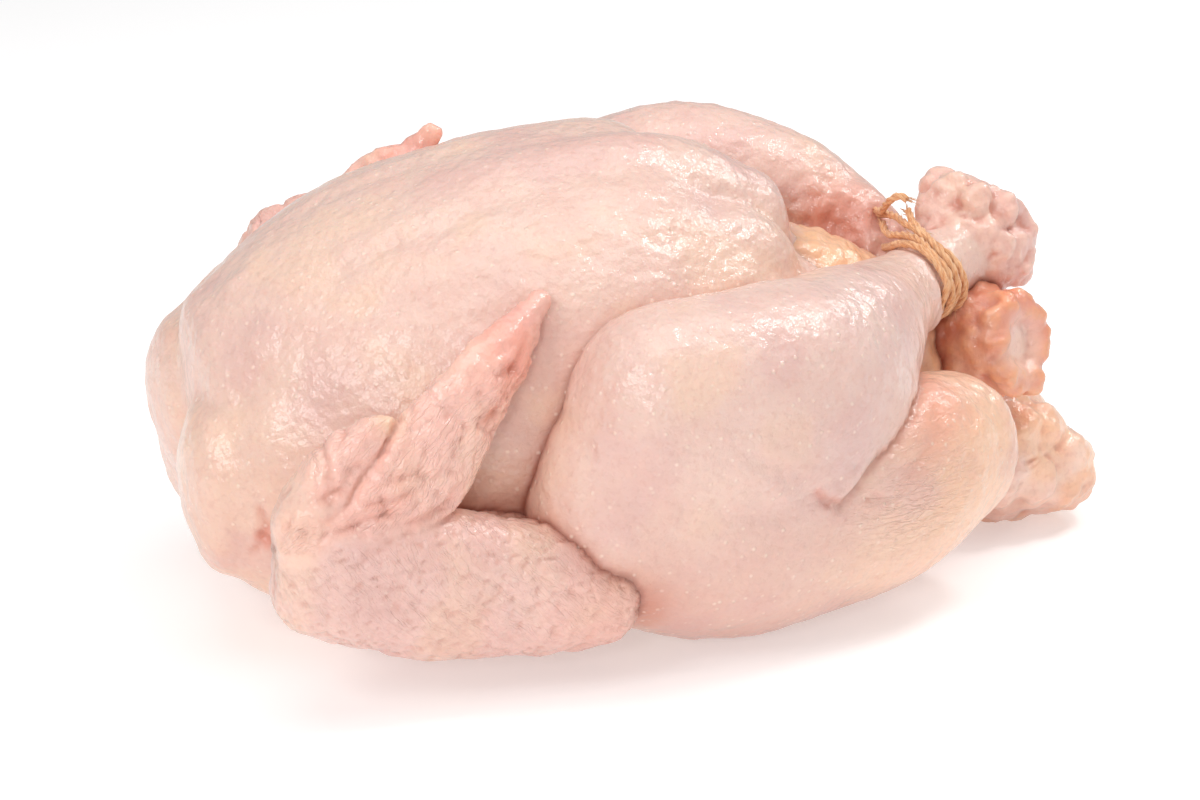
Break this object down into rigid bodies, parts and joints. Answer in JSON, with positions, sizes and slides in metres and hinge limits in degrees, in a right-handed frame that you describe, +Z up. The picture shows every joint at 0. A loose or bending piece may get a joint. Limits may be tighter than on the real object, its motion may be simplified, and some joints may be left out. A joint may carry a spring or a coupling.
{
  "type": "whole raw chicken",
  "caption": "Whole raw plucked chicken lying on its back, plump breast up, wings folded at its sides and its crossed hocks tied with thin twine.",
  "frame": {"origin": "centre of the bounding box, at its base on the table", "axes": "+Z up, +X towards the tail, -Y towards the bird's right side, which it leans on"},
  "size_m": [0.2512, 0.1784, 0.1188],
  "materials": {
    "raw_skin": "moist raw poultry skin, soft gloss",
    "cotton_twine": "matt twisted yarn"
  },
  "bodies": {
    "root": {"chicken": "raw_skin", "twine": "cotton_twine"}
  },
  "joints": []
}
